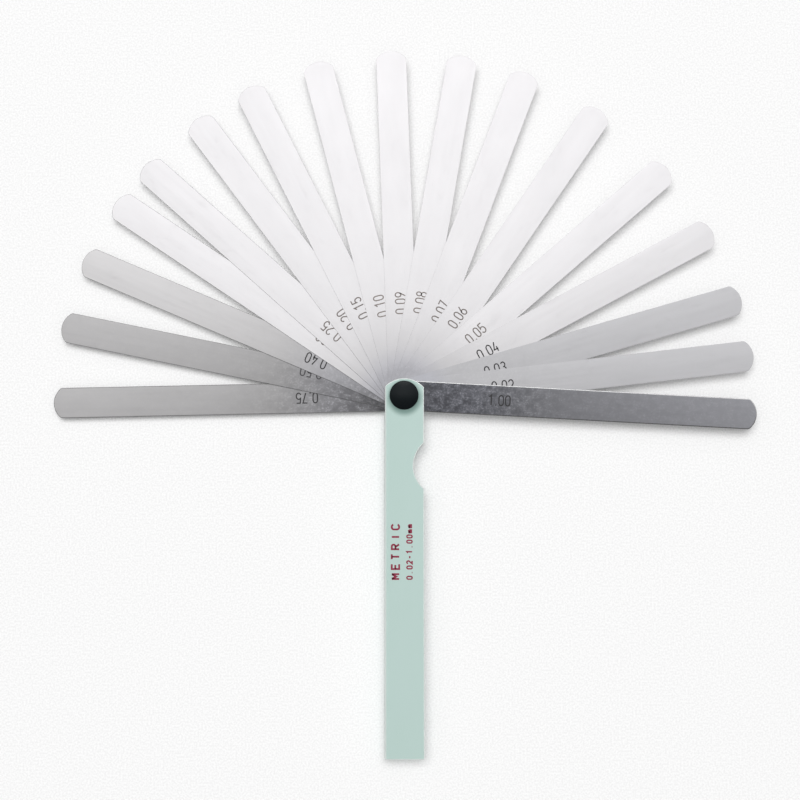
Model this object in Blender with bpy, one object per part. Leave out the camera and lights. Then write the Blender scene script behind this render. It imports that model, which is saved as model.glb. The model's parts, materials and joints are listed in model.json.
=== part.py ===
"""A metric feeler gauge: seventeen steel blades that fan out of a folded sheet-metal sheath.

The gauge lies flat on its back. +Z is the pivot's axis and points at the reader, the sheath runs
towards -Y, and each blade turns about the pivot. The origin is on the pivot's axis, at the flat
face of the rear screw's head, which is the lowest point. Lengths below are in millimetres.
"""

import math

import bmesh
import bpy
from mathutils import Matrix, Vector

MM = 0.001

# Blades from the front of the stack to the back: thickness, and the direction that each points
# in degrees from +X towards +Y.
BLADES = (
    (1.00, -3.2),
    (0.02, 6.5),
    (0.03, 16.0),
    (0.04, 28.1),
    (0.05, 40.9),
    (0.06, 55.6),
    (0.07, 69.2),
    (0.08, 80.1),
    (0.09, 92.1),
    (0.10, 104.6),
    (0.15, 116.7),
    (0.20, 126.8),
    (0.25, 138.2),
    (0.30, 146.0),
    (0.40, 156.9),
    (0.50, 168.4),
    (0.75, 181.1),
)
BLADE_LENGTH = 150.0  # pivot to tip
BLADE_WIDTH = 13.0
TIP_SAGITTA = 3.2  # how far the tip's arc stands out of the chord between its corners
BLADE_GAP = 0.03

# Sheath: one strip of sheet steel folded lengthwise into a channel that is open along +X
SHEET = 0.8
SHEATH_WIDTH = 16.9
SHEATH_TOP = 7.2  # pivot to the crown of the rounded end
SHEATH_TOP_RADIUS = 11.2
SHEATH_BOTTOM = -152.4
SHEATH_CORNER_RADIUS = 0.9
FOLD_RADIUS = 1.4  # outside of the bend
FOLD_START = -8.0  # the fold stops here, so that the blades can swing past it
NOTCH_RADIUS = 12.5
NOTCH_DEEPEST_X = 4.0
NOTCH_CENTRE_Y = -30.0
NOTCH_SHOULDER_RADIUS = 1.2

# Pivot: a domed sleeve nut from the front, which a slotted screw from the back closes
KNOB_RADIUS = 6.15
KNOB_RIM = 0.55
KNOB_CROWN = 1.9
RIM_CHAMFER = 0.12
BARREL_RADIUS = 3.0
PIVOT_HOLE_RADIUS = 3.06
SCREW_RADIUS = 2.0
SCREW_HOLE_RADIUS = 2.06
SCREW_HEAD_RADIUS = 5.25
SCREW_HEAD_HEIGHT = 1.1
SCREW_HEAD_CHAMFER = 0.2
SCREW_SLOT_WIDTH = 1.2
SCREW_SLOT_DEPTH = 0.55
WASHER_RADIUS = 5.5
WASHER_HOLE_RADIUS = 3.1
WASHER_THICKNESS = 0.3
WAVE_THICKNESS = 0.25
WAVE_RISE = 0.14  # each way from the washer's middle
WAVES = 3
CLEARANCE = 0.05  # between faces that touch on the real gauge

ROUND_STEPS = 64
HOLE_STEPS = 40
ARC_STEPS = 10
BEND_STEPS = 8

# Heights, counted up from the face of the screw's head
BACK_PLATE = SCREW_HEAD_HEIGHT + CLEARANCE
WAVE_MIDDLE = BACK_PLATE + SHEET + CLEARANCE + WAVE_RISE + WAVE_THICKNESS / 2
REAR_WASHER = WAVE_MIDDLE + WAVE_RISE + WAVE_THICKNESS / 2 + CLEARANCE
STACK_START = REAR_WASHER + WASHER_THICKNESS + CLEARANCE
STACK_HEIGHT = sum(thickness for thickness, _ in BLADES) + BLADE_GAP * (len(BLADES) - 1)
FRONT_WASHER = STACK_START + STACK_HEIGHT + CLEARANCE
FRONT_PLATE = FRONT_WASHER + WASHER_THICKNESS + CLEARANCE
SHEATH_FRONT = FRONT_PLATE + SHEET
KNOB_BASE = SHEATH_FRONT + CLEARANCE


def clear_scene():
    for obj in list(bpy.data.objects):
        bpy.data.objects.remove(obj, do_unlink=True)


def material(name, colour, metallic, roughness):
    made = bpy.data.materials.new(name)
    made.use_nodes = True
    shader = made.node_tree.nodes["Principled BSDF"]
    shader.inputs["Base Color"].default_value = (*colour, 1.0)
    shader.inputs["Metallic"].default_value = metallic
    shader.inputs["Roughness"].default_value = roughness
    return made


def arc(centre, radius, start, end, steps):
    """Points on an arc, in degrees from +X, both ends included."""
    angles = (math.radians(start + (end - start) * i / steps) for i in range(steps + 1))
    return [(centre[0] + radius * math.cos(a), centre[1] + radius * math.sin(a)) for a in angles]


def circle(radius, steps=ROUND_STEPS):
    return arc((0.0, 0.0), radius, 0.0, 360.0, steps)[:-1]


def link(name, bm, finish, smooth=False):
    """Turns a bmesh in millimetres into an object in metres."""
    bmesh.ops.recalc_face_normals(bm, faces=bm.faces)
    bmesh.ops.scale(bm, vec=Vector((MM, MM, MM)), verts=bm.verts)
    mesh = bpy.data.meshes.new(name)
    bm.to_mesh(mesh)
    bm.free()
    if finish:
        mesh.materials.append(finish)
    if smooth:
        mesh.shade_smooth()
        mesh.set_sharp_from_angle(angle=math.radians(35))
    obj = bpy.data.objects.new(name, mesh)
    bpy.context.scene.collection.objects.link(obj)
    return obj


def plate(name, finish, loops, low, high, smooth=False):
    """A flat piece between two heights. The first loop is its outline and the others are holes."""
    bm = bmesh.new()
    edges = []
    for loop in loops:
        verts = [bm.verts.new((x, y, low)) for x, y in loop]
        edges += [bm.edges.new((verts[i - 1], verts[i])) for i in range(len(verts))]
    bmesh.ops.triangle_fill(bm, edges=edges, use_beauty=True)
    raised = bmesh.ops.extrude_face_region(bm, geom=list(bm.faces))["geom"]
    moved = [item for item in raised if isinstance(item, bmesh.types.BMVert)]
    bmesh.ops.translate(bm, vec=(0.0, 0.0, high - low), verts=moved)
    return link(name, bm, finish, smooth)


def turned(name, finish, profile):
    """A piece turned about Z from a profile of (radius, height) points that starts and ends on the axis."""
    bm = bmesh.new()
    verts = [bm.verts.new((radius, 0.0, height)) for radius, height in profile]
    edges = [bm.edges.new(pair) for pair in zip(verts, verts[1:])]
    bmesh.ops.spin(
        bm,
        geom=verts + edges,
        cent=(0.0, 0.0, 0.0),
        axis=(0.0, 0.0, 1.0),
        angle=math.tau,
        steps=ROUND_STEPS,
        use_merge=True,
    )
    bmesh.ops.remove_doubles(bm, verts=bm.verts, dist=1e-4)
    return link(name, bm, finish, smooth=True)


def cut(obj, cutter, operation="DIFFERENCE"):
    """Adds a Boolean modifier whose other piece is kept out of the model."""
    cutter.hide_render = True
    cutter.display_type = "WIRE"
    modifier = obj.modifiers.new(cutter.name, "BOOLEAN")
    modifier.operation = operation
    modifier.solver = "EXACT"
    modifier.object = cutter


def block(name, low, high):
    """A plain box between two corners, used as a cutter."""
    bm = bmesh.new()
    size = [top - bottom for bottom, top in zip(low, high)]
    middle = [(top + bottom) / 2 for bottom, top in zip(low, high)]
    bmesh.ops.create_cube(bm, size=1.0, matrix=Matrix.Translation(middle) @ Matrix.Diagonal((*size, 1.0)))
    return link(name, bm, None)


def blade_outline():
    """Parallel sides, a round tail about the pivot and a shallow round tip."""
    half = BLADE_WIDTH / 2
    tip_radius = (half**2 + TIP_SAGITTA**2) / (2 * TIP_SAGITTA)
    spread = math.degrees(math.asin(half / tip_radius))
    tail = arc((0.0, 0.0), half, 90.0, 270.0, 2 * ARC_STEPS)
    tip = arc((BLADE_LENGTH - tip_radius, 0.0), tip_radius, -spread, spread, ARC_STEPS)
    return tail + tip


def make_blades(steel, pivot):
    """Stacks the blades from the front washer down to the rear one."""
    outline = blade_outline()
    hole = circle(PIVOT_HOLE_RADIUS, HOLE_STEPS)
    top = STACK_START + STACK_HEIGHT
    for thickness, direction in BLADES:
        name = f"blade_{round(thickness * 100):03d}"
        blade = plate(name, steel, [outline, hole], -thickness / 2, thickness / 2)
        blade.parent = pivot
        blade.location.z = (top - thickness / 2) * MM
        blade.rotation_euler.z = math.radians(direction)
        top -= thickness + BLADE_GAP


def notched_edge(half):
    """The thumb notch in the +X edge, from its lower shoulder to its upper one."""
    centre = Vector((NOTCH_DEEPEST_X + NOTCH_RADIUS, NOTCH_CENTRE_Y))
    shoulder_x = half - NOTCH_SHOULDER_RADIUS
    across = centre.x - shoulder_x
    along = math.sqrt((NOTCH_RADIUS + NOTCH_SHOULDER_RADIUS) ** 2 - across**2)
    lean = math.degrees(math.atan2(along, across))
    lower = (shoulder_x, centre.y - along)
    upper = (shoulder_x, centre.y + along)
    points = arc(lower, NOTCH_SHOULDER_RADIUS, 0.0, lean, BEND_STEPS)
    points += arc(centre, NOTCH_RADIUS, 180.0 + lean, 180.0 - lean, 2 * ARC_STEPS)[1:-1]
    points += arc(upper, NOTCH_SHOULDER_RADIUS, -lean, 0.0, BEND_STEPS)
    return points


def sheath_outline():
    """Plan of the sheath. Its -X side lies outside the fold, which makes that edge itself."""
    half = SHEATH_WIDTH / 2
    outside = -half - 1.0
    corner = SHEATH_CORNER_RADIUS
    crown = (0.0, SHEATH_TOP - SHEATH_TOP_RADIUS)
    right = math.degrees(math.acos(half / SHEATH_TOP_RADIUS))
    left = math.degrees(math.acos(outside / SHEATH_TOP_RADIUS))
    points = arc((half - corner, SHEATH_BOTTOM + corner), corner, -90.0, 0.0, BEND_STEPS)
    points += notched_edge(half)
    points += arc(crown, SHEATH_TOP_RADIUS, right, left, 2 * ARC_STEPS)
    points.append((outside, SHEATH_BOTTOM + corner))
    points += arc((-half + corner, SHEATH_BOTTOM + corner), corner, 180.0, 270.0, BEND_STEPS)
    return points


def fold_profile(open_side):
    """The channel's section: both plates and the bend between them, as (x, z) points."""
    fold_x = FOLD_RADIUS - SHEATH_WIDTH / 2
    low = (fold_x, BACK_PLATE + FOLD_RADIUS)
    high = (fold_x, SHEATH_FRONT - FOLD_RADIUS)
    inner = FOLD_RADIUS - SHEET
    points = [(open_side, BACK_PLATE + SHEET), (open_side, BACK_PLATE)]
    points += arc(low, FOLD_RADIUS, 270.0, 180.0, BEND_STEPS)
    points += arc(high, FOLD_RADIUS, 180.0, 90.0, BEND_STEPS)
    points += [(open_side, SHEATH_FRONT), (open_side, FRONT_PLATE)]
    points += arc(high, inner, 90.0, 180.0, BEND_STEPS)
    points += arc(low, inner, 180.0, 270.0, BEND_STEPS)
    return points


def make_sheath(paint):
    """Folds the channel, trims it to its plan, opens it beside the pivot and bores it."""
    margin = 2.0
    profile = fold_profile(SHEATH_WIDTH / 2 + margin)
    bm = bmesh.new()
    verts = [bm.verts.new((x, SHEATH_BOTTOM - margin, z)) for x, z in profile]
    section = bm.faces.new(verts)
    raised = bmesh.ops.extrude_face_region(bm, geom=[section])["geom"]
    moved = [item for item in raised if isinstance(item, bmesh.types.BMVert)]
    length = SHEATH_TOP - SHEATH_BOTTOM + 2 * margin
    bmesh.ops.translate(bm, vec=(0.0, length, 0.0), verts=moved)
    sheath = link("sheath", bm, paint, smooth=True)

    low = BACK_PLATE - margin
    high = SHEATH_FRONT + margin
    cut(sheath, plate("sheath_plan", None, [sheath_outline()], low, high), "INTERSECT")
    wall = SHEATH_WIDTH / 2
    opening = block(
        "fold_opening",
        (-wall - margin, FOLD_START, BACK_PLATE + SHEET),
        (-wall + FOLD_RADIUS + margin, SHEATH_TOP + margin, FRONT_PLATE),
    )
    cut(sheath, opening)
    cut(sheath, plate("pivot_bore", None, [circle(PIVOT_HOLE_RADIUS)], low, high))
    return sheath


def make_sleeve_nut(steel):
    """The domed knob and its barrel, bored from the back for the screw."""
    rim_top = KNOB_BASE + KNOB_RIM
    dome_radius = (KNOB_RADIUS**2 + KNOB_CROWN**2) / (2 * KNOB_CROWN)
    slope = math.degrees(math.asin(KNOB_RADIUS / dome_radius))
    dome_centre = (0.0, rim_top + KNOB_CROWN - dome_radius)
    dome = arc(dome_centre, dome_radius, 90.0, 90.0 - slope, ARC_STEPS)
    dome[0] = (0.0, rim_top + KNOB_CROWN)
    barrel_end = BACK_PLATE + CLEARANCE
    bore_end = FRONT_PLATE
    profile = dome + [
        (KNOB_RADIUS, KNOB_BASE + RIM_CHAMFER),
        (KNOB_RADIUS - RIM_CHAMFER, KNOB_BASE),
        (BARREL_RADIUS, KNOB_BASE),
        (BARREL_RADIUS, barrel_end),
        (SCREW_HOLE_RADIUS, barrel_end),
        (SCREW_HOLE_RADIUS, bore_end),
        (0.0, bore_end + SCREW_HOLE_RADIUS / 2),
    ]
    return turned("sleeve_nut", steel, profile)


def make_pivot_screw(steel):
    """The slotted screw. The flat face of its head is at height 0."""
    shank_end = FRONT_PLATE - 4 * CLEARANCE
    chamfer = SCREW_HEAD_CHAMFER
    profile = [
        (0.0, shank_end),
        (SCREW_RADIUS - chamfer, shank_end),
        (SCREW_RADIUS, shank_end - chamfer),
        (SCREW_RADIUS, SCREW_HEAD_HEIGHT),
        (SCREW_HEAD_RADIUS, SCREW_HEAD_HEIGHT),
        (SCREW_HEAD_RADIUS, chamfer),
        (SCREW_HEAD_RADIUS - chamfer, 0.0),
        (0.0, 0.0),
    ]
    screw = turned("pivot_screw", steel, profile)
    reach = SCREW_HEAD_RADIUS + 1.0
    half = SCREW_SLOT_WIDTH / 2
    cut(screw, block("screw_slot", (-reach, -half, -1.0), (reach, half, SCREW_SLOT_DEPTH)))
    return screw


def make_washer(name, steel, low):
    loops = [circle(WASHER_RADIUS), circle(WASHER_HOLE_RADIUS)]
    return plate(name, steel, loops, low, low + WASHER_THICKNESS, smooth=True)


def make_wave_washer(steel):
    """A spring washer whose ring rises and falls, which keeps the stack from rattling."""
    bm = bmesh.new()
    rings = []
    for step in range(ROUND_STEPS):
        angle = math.tau * step / ROUND_STEPS
        middle = WAVE_MIDDLE + WAVE_RISE * math.cos(WAVES * angle)
        corners = (
            (WASHER_HOLE_RADIUS, middle - WAVE_THICKNESS / 2),
            (WASHER_RADIUS, middle - WAVE_THICKNESS / 2),
            (WASHER_RADIUS, middle + WAVE_THICKNESS / 2),
            (WASHER_HOLE_RADIUS, middle + WAVE_THICKNESS / 2),
        )
        rings.append([bm.verts.new((r * math.cos(angle), r * math.sin(angle), z)) for r, z in corners])
    for ring, following in zip(rings, rings[1:] + rings[:1]):
        for i in range(4):
            bm.faces.new((ring[i - 1], ring[i], following[i], following[i - 1]))
    return link("wave_washer", bm, steel, smooth=True)


def main():
    clear_scene()
    green_paint = material("green_paint", (0.50, 0.66, 0.59), 0.0, 0.45)
    blade_steel = material("blade_steel", (0.62, 0.62, 0.64), 1.0, 0.28)
    black_steel = material("black_steel", (0.02, 0.022, 0.02), 0.4, 0.4)
    plated_steel = material("plated_steel", (0.55, 0.55, 0.56), 1.0, 0.35)

    pivot = bpy.data.objects.new("pivot_axis", None)
    bpy.context.scene.collection.objects.link(pivot)
    make_blades(blade_steel, pivot)
    make_sheath(green_paint)
    make_sleeve_nut(black_steel)
    make_pivot_screw(black_steel).parent = pivot
    make_washer("front_washer", plated_steel, FRONT_WASHER)
    make_washer("rear_washer", plated_steel, REAR_WASHER)
    make_wave_washer(plated_steel)


main()
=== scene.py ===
"""The looks of a metric feeler gauge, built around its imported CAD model.

Every place and size comes from the frame or from the dimensions below. Lengths are in millimetres,
apart from those of the camera and the lights, which are in metres. The gauge is seen from the
front, with the sheath towards the viewer's feet (-Y) and the pivot's axis along +Z.
"""
import json
import math

import bmesh
import bpy
from mathutils import Euler, Matrix, Vector


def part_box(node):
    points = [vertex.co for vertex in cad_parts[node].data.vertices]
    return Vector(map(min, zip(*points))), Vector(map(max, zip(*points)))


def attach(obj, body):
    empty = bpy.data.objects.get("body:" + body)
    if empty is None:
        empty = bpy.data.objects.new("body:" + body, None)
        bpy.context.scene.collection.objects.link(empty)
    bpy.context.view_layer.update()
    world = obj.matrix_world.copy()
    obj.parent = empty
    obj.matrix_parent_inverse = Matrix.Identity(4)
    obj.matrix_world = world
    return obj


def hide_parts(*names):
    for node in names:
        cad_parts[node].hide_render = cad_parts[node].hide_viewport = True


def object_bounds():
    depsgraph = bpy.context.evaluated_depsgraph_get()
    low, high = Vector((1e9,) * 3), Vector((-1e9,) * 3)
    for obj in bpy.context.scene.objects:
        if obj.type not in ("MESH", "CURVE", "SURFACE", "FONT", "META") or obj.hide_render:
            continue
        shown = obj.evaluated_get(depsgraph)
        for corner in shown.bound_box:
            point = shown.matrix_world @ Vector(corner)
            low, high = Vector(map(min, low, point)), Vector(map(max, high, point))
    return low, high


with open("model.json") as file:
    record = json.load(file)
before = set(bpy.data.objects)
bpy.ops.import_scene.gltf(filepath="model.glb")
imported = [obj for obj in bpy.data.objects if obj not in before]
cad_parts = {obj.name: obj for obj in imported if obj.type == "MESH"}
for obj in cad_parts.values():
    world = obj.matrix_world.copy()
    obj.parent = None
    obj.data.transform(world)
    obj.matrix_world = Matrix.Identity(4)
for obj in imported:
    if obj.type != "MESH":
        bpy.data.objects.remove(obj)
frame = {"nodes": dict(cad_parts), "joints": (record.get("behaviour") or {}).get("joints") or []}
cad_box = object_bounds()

MM = 0.001

# Shapes, most of which the CAD model also has
BLADE_LENGTH = 150.0
BLADE_WIDTH = 13.0
TIP_SAGITTA = 3.2
TIP_CORNER_RADIUS = 1.6
PIVOT_HOLE_RADIUS = 3.06
SHEET = 0.8
FOLD_RADIUS = 1.4
FOLD_START = -8.0
SHEATH_CROWN_RADIUS = 11.2
SHEATH_CORNER_RADIUS = 0.9
SHEATH_ROUNDING = 0.36  # of the sheet's edges
NOTCH_RADIUS = 12.5
NOTCH_DEEPEST_X = 4.0
NOTCH_CENTRE_Y = -30.0
NOTCH_SHOULDER_RADIUS = 1.2
LOBE_CURL = 60.0  # degrees of the bend that the lobes beside the pivot keep
LOBE_FOOT_RADIUS = 1.0  # of the round corner at the foot of each lobe
BARREL_RADIUS = 3.0
SCREW_HOLE_RADIUS = 2.06
KNOB_LIFT = 0.05  # between the front plate and the knob
KNOB_RIM = 0.45
SAME_PLACE = 1e-4  # points closer than this are one

# Printed and etched marks
MARK_SIZE = (2.4, 4.8)  # a figure's width and height
MARK_STROKE = 0.5
MARK_GAPS = (0.42, 0.72)  # between two figures, and on each side of a point
PRINT_START = -77.9  # from the pivot to the foot of the print on the sheath
MARK_START = 35.8  # from the pivot to the first figure
MARK_DEPTH = 0.010
# The figures are stamped by hand, so some of them miss their place: how far they stand along the
# blade and across it, and how far they turn, in degrees
STAMP_SHIFTS = {
    2: (1.7, -0.7, 0.0),
    7: (-1.5, -1.4, -5.0),
    9: (-0.8, 0.0, 0.0),
    10: (-0.8, 0.0, 0.0),
    15: (1.5, 0.0, 0.0),
    20: (0.5, 0.0, 0.0),
    25: (1.0, 0.0, 0.0),
    30: (0.0, -1.0, 0.0),
    40: (0.0, 0.9, 0.0),
    50: (0.4, -2.0, 0.0),
    75: (1.0, 0.0, 0.0),
}

FOLDED_DIRECTION = -90.0  # where every blade points when it is in the sheath

EDGE_SHARE = 0.38  # of a blade's thickness that each rounded edge takes
BRIGHT_EDGE_FROM = 0.9  # millimetres: only the thickest blade has edges ground bright; thinner ones get dark edges that are painted shade

# Light, as radiance where 1 is a white sheet in full light
CEILING_LIGHT = 1.5
HORIZON_LIGHT = 0.35
LOW_CEILING = 0.6  # the share of the ceiling's light that is left low down
CEILING_LEAN = (0.0, 0.94, 0.34)
CARD_LIGHT = 3.5  # a bright card low on the +Y side, which only glossy surfaces mirror
STEEL_LIGHT = 1.3  # what white steel would send to the camera
KEY_LIGHT = 1.97  # on the floor
FILL_LIGHT = 1.19  # on the floor, from all sides
TABLE_GLOW = 0.177
PAINTED_UPPER_HIGHLIGHT = 0.13  # painted highlight: how much lighter a blade is painted on the side that faces +Y, towards the lights

CAMERA_LENS = 63.15  # on a sensor 36 mm wide
CAMERA_DISTANCE = 0.6
CAMERA_TURN = (4.1, 0.2, -0.07)  # degrees away from straight down
CAMERA_TARGET = (-0.00173, -0.00174, 0.004)


# ---------------------------------------------------------------- plane geometry

def arc(centre, radius, start, end, steps):
    """Points on an arc, in degrees from +X, both ends included. The radius may be a pair."""
    across, up = radius if isinstance(radius, tuple) else (radius, radius)
    angles = [math.radians(start + (end - start) * i / steps) for i in range(steps + 1)]
    return [(centre[0] + across * math.cos(a), centre[1] + up * math.sin(a)) for a in angles]


def circle(radius, steps):
    return arc((0.0, 0.0), radius, 0.0, 360.0, steps)[:-1]


def shifted(loop, inset):
    """A closed loop moved inwards by inset. It runs counter-clockwise round its material."""
    moved = []
    for i, here in enumerate(loop):
        before = Vector(here) - Vector(loop[i - 1])
        after = Vector(loop[(i + 1) % len(loop)]) - Vector(here)
        first = Vector((-before.y, before.x)).normalized()
        second = Vector((-after.y, after.x)).normalized()
        middle = first + second
        moved.append(tuple(Vector(here) + middle * (inset * 2 / middle.length_squared)))
    return moved


# ---------------------------------------------------------------- mesh building

def make_object(name, bm, materials, smooth_angle=None):
    """Turns a bmesh in millimetres into an object in metres."""
    bmesh.ops.scale(bm, vec=Vector((MM, MM, MM)), verts=bm.verts)
    mesh = bpy.data.meshes.new(name)
    bm.to_mesh(mesh)
    bm.free()
    for material in materials:
        mesh.materials.append(material)
    if smooth_angle:
        mesh.shade_smooth()
        mesh.set_sharp_from_angle(angle=math.radians(smooth_angle))
    obj = bpy.data.objects.new(name, mesh)
    bpy.context.scene.collection.objects.link(obj)
    return obj


def rounded_plate(bm, loops, low, high, rounding, steps=3):
    """A flat piece whose edges are rounded. The outline runs counter-clockwise, holes clockwise.

    Faces on the rounded edge get material 1, and the two flat sides get material 0.
    """
    quarter = [math.radians(90 * i / steps) for i in range(steps + 1)]
    profile = [(rounding * (1 - math.sin(a)), low + rounding * (1 - math.cos(a))) for a in quarter]
    profile += [(rounding * (1 - math.cos(a)), high - rounding * (1 - math.sin(a))) for a in quarter]
    ends = {0: [], len(profile) - 1: []}
    for loop in loops:
        rings = []
        for level, (inset, z) in enumerate(profile):
            ring = [bm.verts.new((x, y, z)) for x, y in shifted(loop, inset)]
            if level in ends:
                ends[level] += [bm.edges.new((ring[i - 1], ring[i])) for i in range(len(ring))]
            rings.append(ring)
        for lower, upper in zip(rings, rings[1:]):
            for i in range(len(lower)):
                side = bm.faces.new((lower[i - 1], lower[i], upper[i], upper[i - 1]))
                side.material_index = 1
    for edges in ends.values():
        bmesh.ops.triangle_fill(bm, edges=edges, use_beauty=True)
    bmesh.ops.recalc_face_normals(bm, faces=bm.faces)


def keep_flats_flat(obj, low, high):
    """Shades a plate's two flat sides truly flat, and rolls its rounded edges off from them."""
    mesh = obj.data
    normals = []
    for vert in mesh.vertices:
        height = vert.co.z / MM
        flat = min(height - low, high - height) < SAME_PLACE
        side = 1.0 if height > (low + high) / 2 else -1.0
        normals.append(Vector((0.0, 0.0, side)) if flat else vert.normal.copy())
    mesh.normals_split_custom_set_from_vertices(normals)


def ribbon(bm, points, width, low, high, closed=False):
    """A stroke of even width along a line of points, as a closed strip between two heights."""
    count = len(points)
    sections = []
    for i, here in enumerate(points):
        before = points[i - 1] if i or closed else None
        after = points[(i + 1) % count] if i < count - 1 or closed else None
        ways = []
        if before is not None:
            ways.append((Vector(here) - Vector(before)).normalized())
        if after is not None:
            ways.append((Vector(after) - Vector(here)).normalized())
        side = Vector((0.0, 0.0))
        for way in ways:
            side += Vector((-way.y, way.x))
        side *= len(ways) / max(side.length_squared, 0.6)
        left = Vector(here) + side * width / 2
        right = Vector(here) - side * width / 2
        corners = ((left, low), (right, low), (right, high), (left, high))
        sections.append([bm.verts.new((p.x, p.y, z)) for p, z in corners])
    pairs = list(zip(sections, sections[1:] + sections[:1]))
    for one, other in pairs if closed else pairs[:-1]:
        for i in range(4):
            bm.faces.new((one[i - 1], one[i], other[i], other[i - 1]))
    if not closed:
        bm.faces.new(sections[0])
        bm.faces.new(reversed(sections[-1]))
    bmesh.ops.recalc_face_normals(bm, faces=bm.faces)


# ---------------------------------------------------------------- node materials

class Look:
    """A material, and short ways to add nodes to it."""

    def __init__(self, name, base=(0.8, 0.8, 0.8), metallic=0.0, roughness=0.5, **sockets):
        self.material = bpy.data.materials.new(name)
        self.material.use_nodes = True
        self.tree = self.material.node_tree
        self.shader = self.tree.nodes["Principled BSDF"]
        self.set(self.shader, "Base Color", (*base, 1.0))
        self.set(self.shader, "Metallic", metallic)
        self.set(self.shader, "Roughness", roughness)
        for socket, value in sockets.items():
            self.set(self.shader, socket.replace("_", " "), value)

    def set(self, node, socket, value):
        """Joins an output to a socket, or writes a plain value on it."""
        if isinstance(value, bpy.types.NodeSocket):
            self.tree.links.new(value, node.inputs[socket])
        else:
            node.inputs[socket].default_value = value

    def add(self, kind, settings=None, **sockets):
        node = self.tree.nodes.new(kind)
        for key, value in (settings or {}).items():
            setattr(node, key, value)
        for socket, value in sockets.items():
            self.set(node, socket.replace("_", " "), value)
        return node

    def place(self, scale=(1.0, 1.0, 1.0)):
        """The point in the piece's own millimetres, stretched by scale."""
        found = self.add("ShaderNodeTexCoord").outputs["Object"]
        size = tuple(part / MM for part in scale)
        return self.add("ShaderNodeMapping", Vector=found, Scale=size).outputs["Vector"]

    def noise(self, scale=(1.0, 1.0, 1.0), detail=3.0, roughness=0.5, distortion=0.0):
        node = self.add(
            "ShaderNodeTexNoise",
            Vector=self.place(scale),
            Scale=1.0,
            Detail=detail,
            Roughness=roughness,
            Distortion=distortion,
        )
        return node.outputs["Fac"]

    def ramp(self, value, low, high, to_low=0.0, to_high=1.0):
        """Maps low..high to to_low..to_high smoothly and holds it outside that."""
        node = self.add("ShaderNodeMapRange", {"interpolation_type": "SMOOTHSTEP"}, Value=value)
        for socket, number in zip(("From Min", "From Max"), (low, high)):
            self.set(node, socket, number)
        for socket, number in zip(("To Min", "To Max"), (to_low, to_high)):
            self.set(node, socket, number)
        return node.outputs["Result"]

    def curve(self, value, stops):
        """A smooth curve through (place, level) stops, with places from 0 to 1."""
        node = self.add("ShaderNodeValToRGB", Fac=value)
        node.color_ramp.interpolation = "CARDINAL"
        elements = node.color_ramp.elements
        for i, (at, level) in enumerate(stops):
            element = elements[i] if i < 2 else elements.new(at)
            element.position = at
            element.color = (level, level, level, 1.0)
        return node.outputs["Color"]

    def math(self, operation, one, other):
        node = self.add("ShaderNodeMath", {"operation": operation})
        node.inputs[0].default_value = 0.0
        for index, value in enumerate((one, other)):
            if isinstance(value, bpy.types.NodeSocket):
                self.tree.links.new(value, node.inputs[index])
            else:
                node.inputs[index].default_value = value
        return node.outputs["Value"]

    def mix(self, factor, one, other, blend="MIX"):
        node = self.add("ShaderNodeMix", {"data_type": "RGBA", "blend_type": blend})
        slots = {"Factor": factor, "A": one, "B": other}
        for socket in node.inputs:
            if not socket.enabled or socket.name not in slots:
                continue
            value = slots[socket.name]
            if isinstance(value, bpy.types.NodeSocket):
                self.tree.links.new(value, socket)
            elif socket.type == "RGBA":
                socket.default_value = (*value, 1.0)
            else:
                socket.default_value = value
        return [output for output in node.outputs if output.enabled][0]

    def grey(self, value, tint=(1.0, 1.0, 1.0)):
        """A colour whose brightness is value."""
        node = self.add("ShaderNodeCombineColor")
        for channel, share in zip(("Red", "Green", "Blue"), tint):
            self.set(node, channel, self.math("MULTIPLY", value, share))
        return node.outputs["Color"]

    def bump(self, height, depth_mm, strength=1.0, over=None):
        node = self.add("ShaderNodeBump", Height=height, Distance=depth_mm * MM, Strength=strength)
        if over is not None:
            self.set(node, "Normal", over)
        return node.outputs["Normal"]

    def finish(self, **sockets):
        for socket, value in sockets.items():
            self.set(self.shader, socket.replace("_", " "), value)
        return self.material


def linear(level):
    """The reflectance of a screen level from 0 to 255."""
    share = level / 255
    return share / 12.92 if share <= 0.04045 else ((share + 0.055) / 1.055) ** 2.4


# ---------------------------------------------------------------- blades

# Finishes of the strip by thickness: up to which size in hundredths of a millimetre, how light it
# looks on the screen by the pivot and far from it (0 to 255), the reach in millimetres over which it
# lightens from the one to the other, and its cast. Thick strip is dark as rolled and thin strip is
# bright.
FINISHES = (
    (3, 195, 210, 60.0, (1.0, 0.99, 1.01)),
    (4, 190, 240, 20.0, (1.01, 0.99, 1.0)),
    (30, 190, 248, 14.0, (1.01, 0.99, 1.0)),
    (40, 145, 225, 35.0, (1.01, 0.99, 0.99)),
    (75, 115, 200, 40.0, (1.01, 0.99, 0.99)),
    (100, 105, 180, 110.0, (0.98, 0.98, 1.04)),
)
FINISH_START = 10.0  # from the pivot
FINISH_STEPS = 8  # of the curve from there to the tip, each longer than the last
BRIGHTEST = 255  # the tone at which no mill scale is left
PIVOT_CAST = (0.978, 0.988, 1.034)  # a cool cast towards the pivot
PIVOT_CAST_REACH = 24.0  # from the pivot
THICK_STRIP_CAST_REACH = 60.0  # on thick strip, where the cast reaches further
THICK_STRIP_FROM = 40  # hundredths of a millimetre
INKS = {
    "black": (0.012, 0.011, 0.012),
    "faint": (0.039, 0.037, 0.040),
    "brown": (0.150, 0.129, 0.120),
    "pale": (0.198, 0.172, 0.159),
}
INK_OF_BLADE = {
    2: "black",
    3: "black",
    4: "black",
    8: "pale",
    9: "pale",
    10: "pale",
    40: "black",
    50: "faint",
    75: "black",
    100: "black",
}


def finish_of(size):
    """The finish of a blade, by its size in hundredths of a millimetre."""
    return next(finish[1:] for finish in FINISHES if size <= finish[0])


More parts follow.
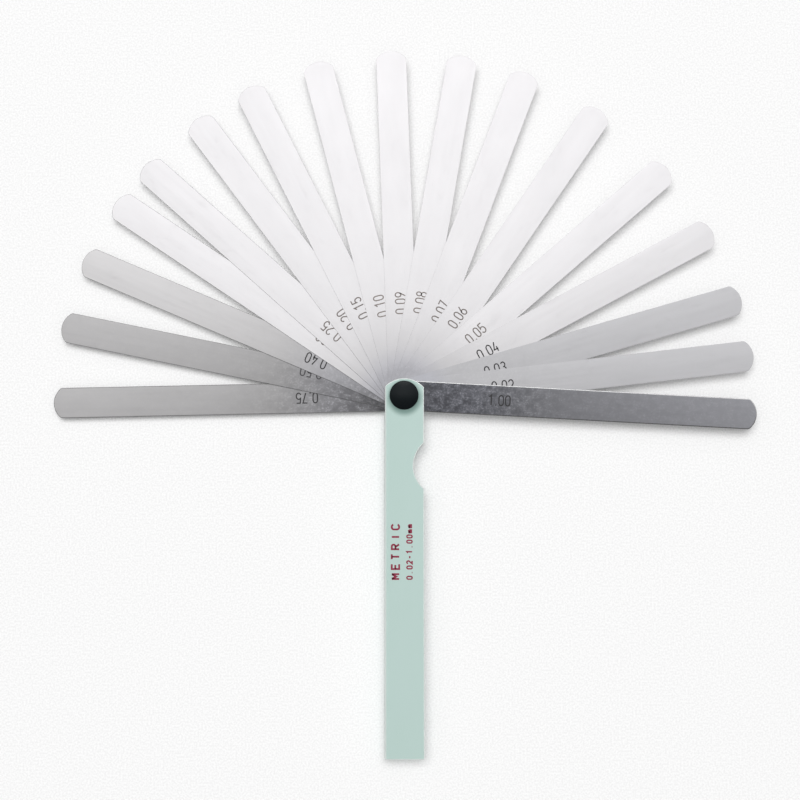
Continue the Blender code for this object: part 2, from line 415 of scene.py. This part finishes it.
def tones_along(root, far, reach):
    """The reflectance along a blade, as (share of its length, level), lightening from root to far."""
    stops = []
    for i in range(FINISH_STEPS + 1):
        radius = FINISH_START * (BLADE_LENGTH / FINISH_START) ** (i / FINISH_STEPS)
        tone = far - (far - root) * math.exp((FINISH_START - radius) / reach)
        stops.append((radius / BLADE_LENGTH, linear(tone) / STEEL_LIGHT))
    return stops


def blade_face(size, direction):
    """Ground steel strip: fine lines along it, faint clouds, and mill scale where it is dark."""
    look = Look(
        f"blade_steel_{size:03d}",
        metallic=1.0,
        roughness=0.3,
        Anisotropic=0.6,
        Specular_IOR_Level=0.5,
    )
    seed = size * 7.3
    fine = look.noise((0.05, 9.0, 1.0), detail=4.0, roughness=0.7)
    coarse = look.noise((0.02, 1.4, seed), detail=3.0, roughness=0.6)
    clouds = look.noise((0.05, 0.12, seed), detail=3.0)
    mottle = look.noise((1.1, 1.2, seed), detail=6.0, roughness=0.72)
    patches = look.noise((0.3, 0.35, seed), detail=4.0, roughness=0.6)
    thick_patches = look.ramp(patches, 0.4, 0.6, 0.3, 1.5)
    flecks = look.math("MULTIPLY", look.ramp(mottle, 0.45, 0.72), thick_patches)
    flecks = look.math("ADD", flecks, look.ramp(patches, 0.3, 0.7, -0.25, 0.25))
    worn = look.ramp(look.noise((0.16, 0.3, seed * 2), detail=5.0, distortion=1.2), 0.56, 0.72)
    place = look.add("ShaderNodeSeparateXYZ", Vector=look.place()).outputs

    brightest = linear(BRIGHTEST) / STEEL_LIGHT
    root, far, reach, tint = finish_of(size)
    stops = tones_along(root, far, reach)
    along = look.math("DIVIDE", place["X"], BLADE_LENGTH)
    base = look.curve(along, stops)
    scale = look.curve(along, [(at, 2.0 * (1 - tone / brightest) ** 4) for at, tone in stops])
    scale = look.math("MULTIPLY", scale, look.ramp(place["X"], 35.0, 75.0, 1.0, 0.3))
    level = look.math("MULTIPLY", look.math("SUBTRACT", flecks, 0.2), scale)
    level = look.math("ADD", level, 1.0)
    for part, share in ((fine, 0.05), (coarse, 0.04), (clouds, 0.10)):
        change = look.math("MULTIPLY", look.math("SUBTRACT", part, 0.5), share)
        level = look.math("ADD", level, change)
    # Painted highlight: each blade is painted lighter on the side that faces +Y, towards the lights.
    painted_upper_highlight = look.math("MULTIPLY", place["Y"], PAINTED_UPPER_HIGHLIGHT * math.cos(direction) ** 3 / BLADE_WIDTH)
    level = look.math("MULTIPLY", look.math("ADD", level, painted_upper_highlight), base)
    # A cool cast towards the pivot, fading out over its reach, which is longer on thick strip.
    film = PIVOT_CAST_REACH if size < THICK_STRIP_FROM else THICK_STRIP_CAST_REACH
    near_pivot = look.ramp(place["X"], 0.4 * film, film, 1.0, 0.0)
    colour = look.grey(level, tint)
    colour = look.mix(near_pivot, colour, PIVOT_CAST, "MULTIPLY")
    rough = look.ramp(coarse, 0.3, 0.7, 0.33, 0.40)
    rough = look.math("ADD", rough, look.math("MULTIPLY", worn, 0.05))
    tangent = look.add("ShaderNodeTangent", {"direction_type": "UV_MAP", "uv_map": "grain"})
    return look.finish(
        Base_Color=colour,
        Roughness=rough,
        Normal=look.bump(fine, 0.0012, 0.3),
        Tangent=tangent.outputs["Tangent"],
    )


def blade_edge(name, brightness, metallic, roughness, lower_side_shade=1.0):
    """A blade's rounded edges: nicked, and, where a lower share is given, painted darker on the lower
    side (-Y) as painted shade.
    """
    look = Look(name, metallic=metallic, Specular_IOR_Level=0.2)
    nicks = look.noise((1.3, 1.3, 4.0), detail=5.0)
    place = look.add("ShaderNodeSeparateXYZ", Vector=look.place()).outputs
    # Painted shade: the edge is painted darker on its lower side (-Y), away from the lights, down to
    # the given share.
    share = look.ramp(place["Y"], -5.0, 5.0, lower_side_shade, 1.0)
    level = look.math("MULTIPLY", share, look.ramp(nicks, 0.3, 0.7, brightness * 0.9, brightness * 1.1))
    return look.finish(
        Base_Color=look.grey(level),
        Roughness=look.ramp(nicks, 0.35, 0.7, roughness, roughness + 0.15),
        Normal=look.bump(nicks, 0.01, 0.3),
    )


def mark_ink(name, colour):
    """Etched black: slightly uneven, so that the steel shows faintly through."""
    look = Look(name, roughness=0.55)
    speckle = look.noise((2.2, 2.2, 2.2), detail=5.0, roughness=0.7)
    lighter = tuple(min(1.0, part * 1.9 + 0.02) for part in colour)
    return look.finish(
        Base_Color=look.mix(look.ramp(speckle, 0.5, 0.75), colour, lighter),
        Roughness=look.ramp(speckle, 0.3, 0.7, 0.45, 0.65),
        Normal=look.bump(speckle, 0.004, 0.4),
    )


def blade_outline():
    """Parallel sides, a round tail, and a shallow round tip with softened corners."""
    half = BLADE_WIDTH / 2
    tip_radius = (half**2 + TIP_SAGITTA**2) / (2 * TIP_SAGITTA)
    centre_x = BLADE_LENGTH - tip_radius
    corner_y = half - TIP_CORNER_RADIUS
    corner_x = centre_x + math.sqrt((tip_radius - TIP_CORNER_RADIUS) ** 2 - corner_y**2)
    spread = math.degrees(math.atan2(corner_y, corner_x - centre_x))
    loop = arc((0.0, 0.0), half, 90.0, 270.0, 40)
    loop += arc((corner_x, -corner_y), TIP_CORNER_RADIUS, -90.0, -spread, 8)
    loop += arc((centre_x, 0.0), tip_radius, -spread, spread, 40)[1:-1]
    loop += arc((corner_x, corner_y), TIP_CORNER_RADIUS, spread, 90.0, 8)
    return loop


def glyph(character):
    """The strokes of a character in a box one unit wide and one high, as (points, closed)."""
    top = (0.5, 0.72)
    low = (0.5, 0.28)
    bowl = (0.5, 0.28)
    strokes = {
        "0": [(arc(top, bowl, 0, 180, 12) + arc(low, bowl, 180, 360, 12), True)],
        "1": [([(0.12, 0.80), (0.58, 1.0), (0.58, 0.0)], False)],
        "2": [(arc(top, bowl, 165, -32, 12) + [(0.0, 0.0), (1.0, 0.0)], False)],
        "3": [
            (
                arc((0.48, 0.76), (0.46, 0.24), 155, -80, 10)
                + arc((0.48, 0.26), (0.52, 0.26), 80, -155, 10),
                False,
            )
        ],
        "4": [([(0.62, 1.0), (0.0, 0.26), (1.0, 0.26)], False), ([(0.76, 0.52), (0.76, 0.0)], False)],
        "5": [
            (
                [(0.95, 1.0), (0.12, 1.0), (0.06, 0.52)]
                + arc((0.47, 0.31), (0.53, 0.31), 118, -155, 12),
                False,
            )
        ],
        "6": [(arc(low, bowl, 0, 360, 20)[:-1], True), ([(0.74, 1.0), (0.06, 0.42)], False)],
        "7": [([(0.0, 1.0), (1.0, 1.0), (0.36, 0.0)], False)],
        "8": [
            (arc((0.5, 0.76), (0.43, 0.24), 0, 360, 20)[:-1], True),
            (arc((0.5, 0.26), (0.5, 0.26), 0, 360, 20)[:-1], True),
        ],
        "9": [(arc(top, bowl, 0, 360, 20)[:-1], True), ([(0.26, 0.0), (0.94, 0.58)], False)],
        "C": [(arc(top, bowl, 15, 180, 12) + arc(low, bowl, 180, 345, 12), False)],
        "E": [
            ([(1.0, 1.0), (0.0, 1.0), (0.0, 0.0), (1.0, 0.0)], False),
            ([(0.0, 0.52), (0.85, 0.52)], False),
        ],
        "I": [([(0.5, 0.0), (0.5, 1.0)], False)],
        "M": [
            ([(0.0, 0.0), (0.0, 1.0)], False),
            ([(0.05, 0.98), (0.5, 0.4), (0.95, 0.98)], False),
            ([(1.0, 0.0), (1.0, 1.0)], False),
        ],
        "R": [
            (
                [(0.0, 0.0), (0.0, 1.0)] + arc((0.55, 0.75), (0.40, 0.25), 90, -90, 10) + [(0.0, 0.5)],
                False,
            ),
            ([(0.5, 0.5), (1.0, 0.0)], False),
        ],
        "T": [([(0.0, 1.0), (1.0, 1.0)], False), ([(0.5, 1.0), (0.5, 0.0)], False)],
        "m": [
            ([(0.0, 0.0), (0.0, 0.66)], False),
            (arc((0.25, 0.42), (0.25, 0.22), 180, 0, 8) + [(0.5, 0.0)], False),
            (arc((0.75, 0.42), (0.25, 0.22), 180, 0, 8) + [(1.0, 0.0)], False),
        ],
        "-": [([(0.1, 0.45), (0.9, 0.45)], False)],
        ".": [([(0.0, -0.06), (0.0, 0.07)], False)],
    }
    return strokes[character]


def lettering(name, text, ink, size, stroke, gaps, low):
    """A line of thin strokes that starts at the origin, runs along +X and is centred on it."""
    bm = bmesh.new()
    width, height = size
    letter_gap, point_gap = gaps
    x = stroke / 2
    for i, character in enumerate(text):
        wide = 0.0 if character == "." else width - stroke
        for points, closed in glyph(character):
            placed = [(x + px * wide, (py - 0.5) * (height - stroke)) for px, py in points]
            ribbon(bm, placed, stroke, low, low + MARK_DEPTH, closed)
        x += wide + stroke + (point_gap if "." in text[i : i + 2] else letter_gap)
    return make_object(name, bm, [ink])


def make_blades():
    # Painted shade: blades up to 0.75 mm get dark edges that stand in for the thin shadows between the
    # blades.
    shaded_edge = blade_edge("blade_edge_painted_shade", 0.19, 0.3, 0.5)
    # Painted shade: the thickest blade's bright edge is painted darker on its lower side.
    bright_edge = blade_edge("blade_edge_bright", 0.5, 1.0, 0.25, 0.3)
    inks = {name: mark_ink(f"mark_{name}", colour) for name, colour in INKS.items()}
    outline = blade_outline()
    hole = circle(PIVOT_HOLE_RADIUS, 48)[::-1]
    for joint in frame["joints"]:
        node = joint["child"]
        if not node.startswith("blade_"):
            continue
        size = int(node[-3:])
        low, high = (corner.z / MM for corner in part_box(node))
        thickness = high - low
        direction = math.radians(FOLDED_DIRECTION - joint["range_deg"][0])
        edge = bright_edge if thickness > BRIGHT_EDGE_FROM else shaded_edge
        bm = bmesh.new()
        rounded_plate(bm, [outline, hole], -thickness / 2, thickness / 2, EDGE_SHARE * thickness)
        blade = make_object(f"{node}_strip", bm, [blade_face(size, direction), edge], 180)
        keep_flats_flat(blade, -thickness / 2, thickness / 2)
        grain = blade.data.uv_layers.new(name="grain")
        for loop in blade.data.loops:
            spot = blade.data.vertices[loop.vertex_index].co / (BLADE_LENGTH * MM)
            grain.data[loop.index].uv = (spot.x, spot.y)
        middle = Matrix.Translation((0.0, 0.0, (low + high) / 2 * MM))
        place = middle @ Matrix.Rotation(direction, 4, "Z")
        blade.matrix_world = place
        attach(blade, node)
        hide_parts(node)
        ink = inks[INK_OF_BLADE.get(size, "brown")]
        figures = f"{size / 100:.2f}"
        top = thickness / 2
        mark = lettering(f"{node}_figures", figures, ink, MARK_SIZE, MARK_STROKE, MARK_GAPS, top)
        along, across, turn = STAMP_SHIFTS.get(size, (0.0, 0.0, 0.0))
        stamp = Matrix.Translation(((MARK_START + along) * MM, across * MM, 0.0))
        mark.matrix_world = place @ stamp @ Matrix.Rotation(math.radians(turn), 4, "Z")
        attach(mark, node)


# ---------------------------------------------------------------- sheath

def green_paint(name, edge_wear_and_sheen):
    """Satin enamel over steel: soft orange peel, faint specks, a painted highlight on the top of the
    fold, a painted shadow round the knob, and, where the second argument is not zero, a pale painted
    highlight all over and thin bare spots.
    """
    look = Look(name, roughness=0.42, Coat_Weight=0.12, Coat_Roughness=0.25, Specular_IOR_Level=0.45)
    peel = look.noise((1.1, 1.1, 1.1), detail=2.0)
    grain = look.noise((4.0, 4.0, 4.0), detail=4.0, roughness=0.65)
    clouds = look.noise((0.05, 0.03, 0.05), detail=3.0)
    specks = look.ramp(look.noise((0.9, 0.9, 0.9), detail=6.0, roughness=0.8), 0.70, 0.78)
    place = look.place()
    sides = look.add("ShaderNodeSeparateXYZ", Vector=place).outputs
    green = look.mix(look.ramp(clouds, 0.3, 0.7), (0.439, 0.586, 0.541), (0.463, 0.603, 0.570))
    green = look.mix(look.ramp(grain, 0.35, 0.65), green, (0.476, 0.615, 0.574))
    green = look.mix(look.math("MULTIPLY", specks, 0.5), green, (0.27, 0.41, 0.35))
    low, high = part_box("sheath")
    left, front = low.x / MM, high.z / MM
    # Painted highlight: the top of the fold on the left side is painted pale, as if it caught the
    # light.
    bend = look.ramp(sides["X"], left + 0.5, left + 1.2, 0.65, 0.0)
    bend = look.math("MULTIPLY", bend, look.ramp(sides["Z"], front - 1.7, front - 1.0))
    green = look.mix(bend, green, (0.80, 0.81, 0.80))
    # Painted shadow: the front plate is painted dark green round the knob, more towards -Y, where the
    # knob's shadow falls.
    knob = look.add("ShaderNodeVectorMath", {"operation": "DISTANCE"}, Vector=place)
    knob.inputs[1].default_value = (0.2, -1.2, front)
    painted_knob_shadow = look.ramp(knob.outputs["Value"], 5.6, 8.6, 0.85, 0.0)
    green = look.mix(painted_knob_shadow, green, (0.107, 0.197, 0.172))
    rough = look.ramp(grain, 0.3, 0.7, 0.36, 0.48)
    if edge_wear_and_sheen:
        bare = look.ramp(look.noise((0.5, 0.5, 0.5), detail=7.0, roughness=0.7), 0.62, 0.68)
        # Painted highlight: the rolled edges are painted pale, as if they caught the light; the bare
        # grey spots below are worn paint.
        green = look.mix(0.88, green, (0.79, 0.83, 0.81))
        green = look.mix(look.math("MULTIPLY", bare, edge_wear_and_sheen), green, (0.47, 0.47, 0.46))
    normal = look.bump(peel, 0.02, 0.5)
    return look.finish(Base_Color=green, Roughness=rough, Normal=look.bump(grain, 0.003, 0.4, normal))


class Fold:
    """Bends the flat blank into the sheath. s runs across the blank and y along it."""

    def __init__(self, low, high):
        self.bend_x = low.x / MM + FOLD_RADIUS
        self.front_z = high.z / MM - SHEET / 2
        self.back_z = low.z / MM + SHEET / 2
        self.radius = FOLD_RADIUS - SHEET / 2
        self.quarter = self.radius * math.pi / 2
        self.wall = self.front_z - self.back_z - 2 * self.radius
        self.span = 2 * self.quarter + self.wall

    def normal(self, s):
        """The way out of the sheath's outer face."""
        back = s > self.span / 2
        turn = min(max(self.span - s if back else s, 0.0) / self.radius, math.pi / 2)
        return Vector((-math.sin(turn), 0.0, -math.cos(turn) if back else math.cos(turn)))

    def point(self, s, y, out=0.0):
        """Where the blank's point goes, out from the middle of the sheet."""
        back = s > self.span / 2
        flat = self.span - s if back else s
        x = self.bend_x - min(flat, 0.0)
        beyond = max(flat - self.quarter, 0.0)
        bend = self.normal(s) * (self.radius + out)
        z = self.back_z + self.radius + beyond if back else self.front_z - self.radius - beyond
        return Vector((x, y, z)) + bend


def front_half(fold, low, high):
    """The front plate's side of the blank's outline, from the bottom of the fold to its slot."""
    bottom, top = low.y / MM, high.y / MM
    half = high.x / MM
    corner = SHEATH_CORNER_RADIUS
    centre = Vector((NOTCH_DEEPEST_X + NOTCH_RADIUS, NOTCH_CENTRE_Y))
    shoulder_x = half - NOTCH_SHOULDER_RADIUS
    across = centre.x - shoulder_x
    along = math.sqrt((NOTCH_RADIUS + NOTCH_SHOULDER_RADIUS) ** 2 - across**2)
    lean = math.degrees(math.atan2(along, across))
    plan = arc((half - corner, bottom + corner), corner, -90.0, 0.0, 10)
    plan += arc((shoulder_x, centre.y - along), NOTCH_SHOULDER_RADIUS, 0.0, lean, 8)
    plan += arc(centre, NOTCH_RADIUS, 180.0 + lean, 180.0 - lean, 40)[1:-1]
    plan += arc((shoulder_x, centre.y + along), NOTCH_SHOULDER_RADIUS, -lean, 0.0, 8)
    crown_y = top - SHEATH_CROWN_RADIUS
    right = math.degrees(math.acos(half / SHEATH_CROWN_RADIUS))
    left = math.degrees(math.acos(fold.bend_x / SHEATH_CROWN_RADIUS))
    plan += arc((0.0, crown_y), SHEATH_CROWN_RADIUS, right, left, 40)
    points = [(fold.bend_x - x, y) for x, y in plan]
    curl = math.radians(LOBE_CURL) * fold.radius
    for i in range(1, 7):
        s = curl * i / 6
        x = fold.point(s, 0.0)[0]
        points.append((s, crown_y + math.sqrt(SHEATH_CROWN_RADIUS**2 - x**2)))
    foot = LOBE_FOOT_RADIUS
    points += arc((curl + foot, FOLD_START + foot), foot, 180.0, 270.0, 8)
    return points


def make_sheath(paint, worn_and_sheen_paint):
    """Cuts the blank, folds it, gives it its thickness and rolls its edges over."""
    low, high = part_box("sheath")
    fold = Fold(low, high)
    front = front_half(fold, low, high)
    back = [(fold.span - s, y) for s, y in reversed(front)]
    hole = circle(PIVOT_HOLE_RADIUS, 64)[::-1]
    middles = (fold.bend_x, fold.span - fold.bend_x)
    holes = [[(middle + x, y) for x, y in hole] for middle in middles]
    bm = bmesh.new()
    rounded_plate(bm, [(front + back)[::-1], *holes], -SHEET / 2, SHEET / 2, SHEATH_ROUNDING, 4)
    for i in range(9):
        for s in (fold.quarter * i / 8, fold.span - fold.quarter * i / 8):
            geometry = list(bm.verts) + list(bm.edges) + list(bm.faces)
            cut = {"plane_co": (s, 0, 0), "plane_no": (1, 0, 0)}
            bmesh.ops.bisect_plane(bm, geom=geometry, dist=SAME_PLACE, **cut)
    bmesh.ops.dissolve_degenerate(bm, dist=10 * SAME_PLACE, edges=bm.edges)
    flats = []
    for vert in bm.verts:
        s, y, out = vert.co
        flat = abs(abs(out) - SHEET / 2) < SAME_PLACE
        flats.append(fold.normal(s) * math.copysign(1.0, out) if flat else None)
        vert.co = fold.point(s, y, out)
    bmesh.ops.reverse_faces(bm, faces=bm.faces)  # because the fold's x runs against the blank's s
    sheath = make_object("sheath_shell", bm, [paint, worn_and_sheen_paint], 180)
    mesh = sheath.data
    normals = [flat or vert.normal.copy() for flat, vert in zip(flats, mesh.vertices)]
    mesh.normals_split_custom_set_from_vertices(normals)
    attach(sheath, "sheath")
    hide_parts("sheath")


def make_print():
    """Generic marks that run up the front plate: the system of units and the blades' range."""
    look = Look("red_ink", base=(0.23, 0.010, 0.042), roughness=0.5)
    speckle = look.noise((2.0, 2.0, 2.0), detail=4.0)
    colour = look.mix(look.ramp(speckle, 0.45, 0.75), (0.215, 0.0086, 0.036), (0.31, 0.043, 0.086))
    ink = look.finish(Base_Color=colour, Roughness=look.ramp(speckle, 0.3, 0.7, 0.42, 0.6))
    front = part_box("sheath")[1].z / MM
    upwards = Matrix.Rotation(math.tau / 4, 4, "Z")
    lines = (
        ("print_units", "METRIC", (2.8, 3.9), 0.78, (1.35, 1.35), -3.7),
        ("print_range", "0.02-1.00mm", (1.75, 2.8), 0.60, (0.41, 0.99), 2.2),
    )
    for name, text, size, stroke, gaps, x in lines:
        line = lettering(name, text, ink, size, stroke, gaps, front)
        line.matrix_world = Matrix.Translation((x * MM, PRINT_START * MM, 0.0)) @ upwards
        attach(line, "sheath")


# ---------------------------------------------------------------- pivot

def black_oxide():
    """Blackened steel, turned: faint rings about the pivot's axis and a thin film of lubricant."""
    look = Look("black_oxide", roughness=0.3, Specular_IOR_Level=0.135)
    place = look.place()
    rings = look.add(
        "ShaderNodeTexWave",
        {"wave_type": "RINGS", "rings_direction": "Z"},
        Vector=place,
        Scale=1.6,
        Distortion=0.6,
        Detail=3.0,
        Detail_Scale=3.0,
    ).outputs["Fac"]
    grain = look.noise((3.0, 3.0, 3.0), detail=5.0, roughness=0.7)
    colour = look.mix(look.ramp(grain, 0.4, 0.75), (0.0028, 0.0050, 0.0060), (0.0060, 0.0090, 0.0103))
    normal = look.bump(rings, 0.004, 0.25)
    return look.finish(
        Base_Color=colour,
        Roughness=look.ramp(grain, 0.3, 0.7, 0.28, 0.42),
        Normal=look.bump(grain, 0.006, 0.4, normal),
    )


def zinc_plate():
    """Bright zinc with a faint warm film, for the washers and the screw."""
    look = Look("zinc_plate", metallic=1.0, roughness=0.34)
    grain = look.noise((2.5, 2.5, 2.5), detail=5.0, roughness=0.65)
    film = look.noise((0.4, 0.4, 0.4), detail=2.0)
    colour = look.mix(look.ramp(film, 0.35, 0.65), (0.60, 0.60, 0.61), (0.66, 0.64, 0.58))
    colour = look.mix(look.ramp(grain, 0.5, 0.8), colour, (0.42, 0.42, 0.42))
    return look.finish(
        Base_Color=colour,
        Roughness=look.ramp(grain, 0.3, 0.7, 0.28, 0.45),
        Normal=look.bump(grain, 0.006, 0.35),
    )


def make_knob(material):
    """The domed head of the sleeve nut with a softened rim, and the barrel under it."""
    low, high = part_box("sleeve_nut")
    radius = high.x / MM
    crown = high.z / MM
    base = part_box("sheath")[1].z / MM + KNOB_LIFT
    rim_top = base + KNOB_RIM
    rise = crown - rim_top
    sphere = (radius**2 + rise**2) / (2 * rise)
    slope = math.degrees(math.asin((radius - 0.25) / sphere))
    dome = arc((0.0, crown - sphere), sphere, 90.0, 90.0 - slope, 24)
    dome[0] = (0.0, crown)
    shoulder = dome[-1]
    profile = dome + [
        (radius - 0.10, shoulder[1] - 0.09),
        (radius - 0.02, shoulder[1] - 0.20),
        (radius, shoulder[1] - 0.34),
        (radius, base + 0.10),
        (radius - 0.03, base + 0.03),
        (radius - 0.10, base),
        (BARREL_RADIUS, base),
        (BARREL_RADIUS, low.z / MM),
        (SCREW_HOLE_RADIUS, low.z / MM),
        (SCREW_HOLE_RADIUS, base - 0.8),
        (0.0, base - 0.3),
    ]
    bm = bmesh.new()
    verts = [bm.verts.new((r, 0.0, z)) for r, z in profile]
    edges = [bm.edges.new(pair) for pair in zip(verts, verts[1:])]
    turn = {"axis": (0, 0, 1), "cent": (0, 0, 0), "angle": math.tau, "steps": 128}
    bmesh.ops.spin(bm, geom=verts + edges, use_merge=True, **turn)
    bmesh.ops.remove_doubles(bm, verts=bm.verts, dist=SAME_PLACE)
    bmesh.ops.recalc_face_normals(bm, faces=bm.faces)
    knob = make_object("knob", bm, [material], 35)
    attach(knob, "sheath")
    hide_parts("sleeve_nut")


def finish_cad_node(node, material, edge_mm):
    """Keeps a CAD node, with its edges softened and a finish of its own."""
    obj = frame["nodes"][node]
    obj.data.materials.clear()
    obj.data.materials.append(material)
    bevel = obj.modifiers.new("soft_edges", "BEVEL")
    bevel.width = edge_mm * MM
    bevel.segments = 2
    bevel.limit_method = "ANGLE"
    bevel.angle_limit = math.radians(50)


# ---------------------------------------------------------------- stage

def make_floor():
    """A large sheet of white paper on a light table, with a faint grain."""
    bm = bmesh.new()
    bmesh.ops.create_grid(bm, x_segments=1, y_segments=1, size=12000.0)
    look = Look("pale_floor", roughness=0.9, Specular_IOR_Level=0.0)
    grain = look.noise((1.3, 1.3, 1.3), detail=4.0)
    level = look.ramp(grain, 0.35, 0.65, 0.77, 0.85)
    look.finish(
        Base_Color=look.grey(level),
        Emission_Color=(1.0, 1.0, 1.0, 1.0),
        Emission_Strength=look.math("MULTIPLY", level, TABLE_GLOW),
    )
    floor = make_object("floor", bm, [look.material])
    floor.location.z = cad_box[0][2] - 0.02 * MM


def soft_box(name, direction, distance, size, irradiance):
    """An oval soft box that gives this much light on the floor, and isn't mirrored in the steel."""
    light = bpy.data.lights.new(name, "AREA")
    light.shape = "ELLIPSE"
    light.size, light.size_y = size
    place = Vector(direction).normalized() * distance
    light.energy = irradiance * math.pi * (distance**2 + size[0] * size[1] / 4) * distance / place.z
    obj = bpy.data.objects.new(name, light)
    obj.location = place
    obj.rotation_euler = place.to_track_quat("Z", "Y").to_euler()
    obj.visible_glossy = False
    bpy.context.scene.collection.objects.link(obj)


def make_surround():
    """What the steel mirrors: a bright ceiling that leans towards +Y and dims to the horizon."""
    world = bpy.data.worlds.new("surround")
    world.use_nodes = True
    bpy.context.scene.world = world
    world.cycles_visibility.diffuse = False
    tree = world.node_tree
    background = tree.nodes["Background"]
    direction = tree.nodes.new("ShaderNodeTexCoord")
    lean = tree.nodes.new("ShaderNodeVectorMath")
    lean.operation = "DOT_PRODUCT"
    lean.inputs[1].default_value = Vector(CEILING_LEAN).normalized()
    spread = tree.nodes.new("ShaderNodeMapRange")
    spread.interpolation_type = "SMOOTHSTEP"
    spread.inputs["From Min"].default_value = -0.1
    spread.inputs["From Max"].default_value = 0.62
    spread.inputs["To Min"].default_value = HORIZON_LIGHT
    spread.inputs["To Max"].default_value = CEILING_LIGHT
    height = tree.nodes.new("ShaderNodeSeparateXYZ")
    low = tree.nodes.new("ShaderNodeMapRange")
    low.interpolation_type = "SMOOTHSTEP"
    low.inputs["From Min"].default_value = 0.2
    low.inputs["From Max"].default_value = 0.75
    low.inputs["To Min"].default_value = LOW_CEILING
    strength = tree.nodes.new("ShaderNodeMath")
    strength.operation = "MULTIPLY"
    tree.links.new(direction.outputs["Generated"], lean.inputs[0])
    tree.links.new(direction.outputs["Generated"], height.inputs["Vector"])
    tree.links.new(lean.outputs["Value"], spread.inputs["Value"])
    tree.links.new(height.outputs["Z"], low.inputs["Value"])
    tree.links.new(spread.outputs["Result"], strength.inputs[0])
    tree.links.new(low.outputs["Result"], strength.inputs[1])
    tree.links.new(strength.outputs["Value"], background.inputs["Strength"])
    background.inputs["Color"].default_value = (0.985, 0.99, 1.0, 1.0)


def mirror_card(name, direction, distance, size, radiance):
    """A bright card that shows in gloss and on edges, and adds nothing to matt surfaces."""
    light = bpy.data.lights.new(name, "AREA")
    light.shape = "RECTANGLE"
    light.size, light.size_y = size
    light.energy = radiance * math.pi * size[0] * size[1]
    obj = bpy.data.objects.new(name, light)
    obj.location = Vector(direction).normalized() * distance
    obj.rotation_euler = obj.location.to_track_quat("Z", "Y").to_euler()
    obj.visible_diffuse = False
    bpy.context.scene.collection.objects.link(obj)


def make_light():
    make_surround()
    mirror_card("card", (0.0, 0.91, 0.41), 3.0, (2.4, 0.8), CARD_LIGHT)
    soft_box("key", (-0.055, 0.288, 0.955), 8.0, (6.9, 4.8), KEY_LIGHT)
    soft_box("fill", (0.0, 0.0, 1.0), 4.0, (18.0, 18.0), FILL_LIGHT)


def make_camera():
    camera = bpy.data.cameras.new("camera")
    camera.lens = CAMERA_LENS
    camera.sensor_width = 36.0
    obj = bpy.data.objects.new("camera", camera)
    turn = Euler([math.radians(angle) for angle in CAMERA_TURN])
    obj.location = Vector(CAMERA_TARGET) + turn.to_matrix() @ Vector((0.0, 0.0, CAMERA_DISTANCE))
    obj.rotation_euler = turn
    bpy.context.scene.collection.objects.link(obj)
    bpy.context.scene.camera = obj


def main():
    bpy.context.scene.view_settings.view_transform = "Standard"
    make_camera()
    make_light()
    make_floor()
    make_blades()
    # The sheet's rolled edges get paint with worn spots and a painted highlight.
    make_sheath(green_paint("green_paint", 0.0), green_paint("green_paint_edge_wear_and_sheen", 0.5))
    make_print()
    make_knob(black_oxide())
    zinc = zinc_plate()
    finish_cad_node("front_washer", zinc, 0.05)
    finish_cad_node("rear_washer", zinc, 0.05)
    finish_cad_node("wave_washer", zinc, 0.04)
    finish_cad_node("pivot_screw", zinc, 0.08)


main()
